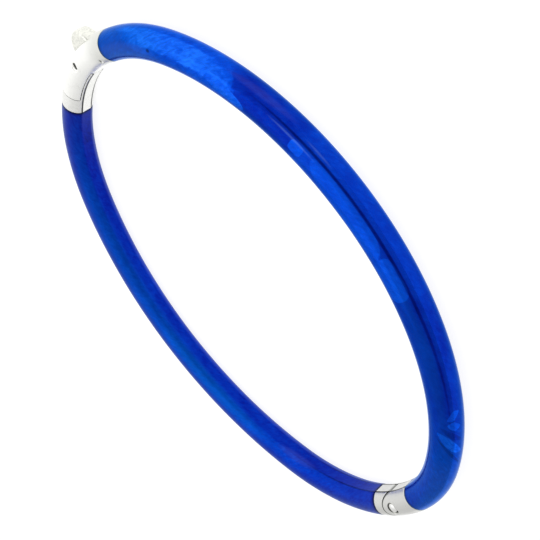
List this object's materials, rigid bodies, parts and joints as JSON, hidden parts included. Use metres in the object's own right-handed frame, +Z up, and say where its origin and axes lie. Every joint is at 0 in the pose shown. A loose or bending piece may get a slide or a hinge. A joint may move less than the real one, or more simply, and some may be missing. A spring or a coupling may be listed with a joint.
{
  "type": "hinged bangle bracelet",
  "caption": "Slim oval hinged bangle: two half arcs of D-section silver tube under translucent royal-blue enamel, with a knuckle hinge and a press-lever clasp.",
  "frame": {"origin": "centre of the closed bangle's footprint, at the height of the surface it lies on", "axes": "+X from the hinge to the clasp along the long axis of the oval, +Y from the front half to the back half, +Z up out of the plane of the ring, so that the bangle lies flat"},
  "size_m": [0.0672, 0.0558, 0.0037],
  "materials": {
    "enamel": "translucent royal-blue vitreous enamel over silver, high gloss",
    "silver": "polished silver",
    "core_silver": "silver tube, textured under the enamel",
    "pin_silver": "polished silver pins",
    "spring_steel": "spring steel leaf"
  },
  "bodies": {
    "back_half": {"back_core_tube": "core_silver", "back_enamel": "enamel", "clasp_tongue": "silver", "hinge_knuckle": "silver"},
    "front_half": {"front_core_tube": "core_silver", "front_enamel": "enamel", "clasp_housing": "silver", "lever_pin": "pin_silver", "lever_spring": "spring_steel", "spring_pin": "pin_silver", "hinge_fork": "silver", "hinge_pin": "pin_silver"},
    "lever": {"clasp_lever": "silver"}
  },
  "joints": [
    {"name": "main_hinge", "type": "hinge", "parent": "back_half", "child": "front_half", "pos_m": [-0.03189, 0.0003, 0.00185], "axis": [0, 0, -1], "range_deg": [0, 42]},
    {"name": "lever_press", "type": "hinge", "parent": "front_half", "child": "lever", "pos_m": [0.0307, 0.00116, 0.00185], "axis": [0, 0, -1], "range_deg": [0, 11], "stiffness_Nm_per_rad": 0.01, "springref_deg": -5.73, "deforming": ["lever_spring"]}
  ]
}
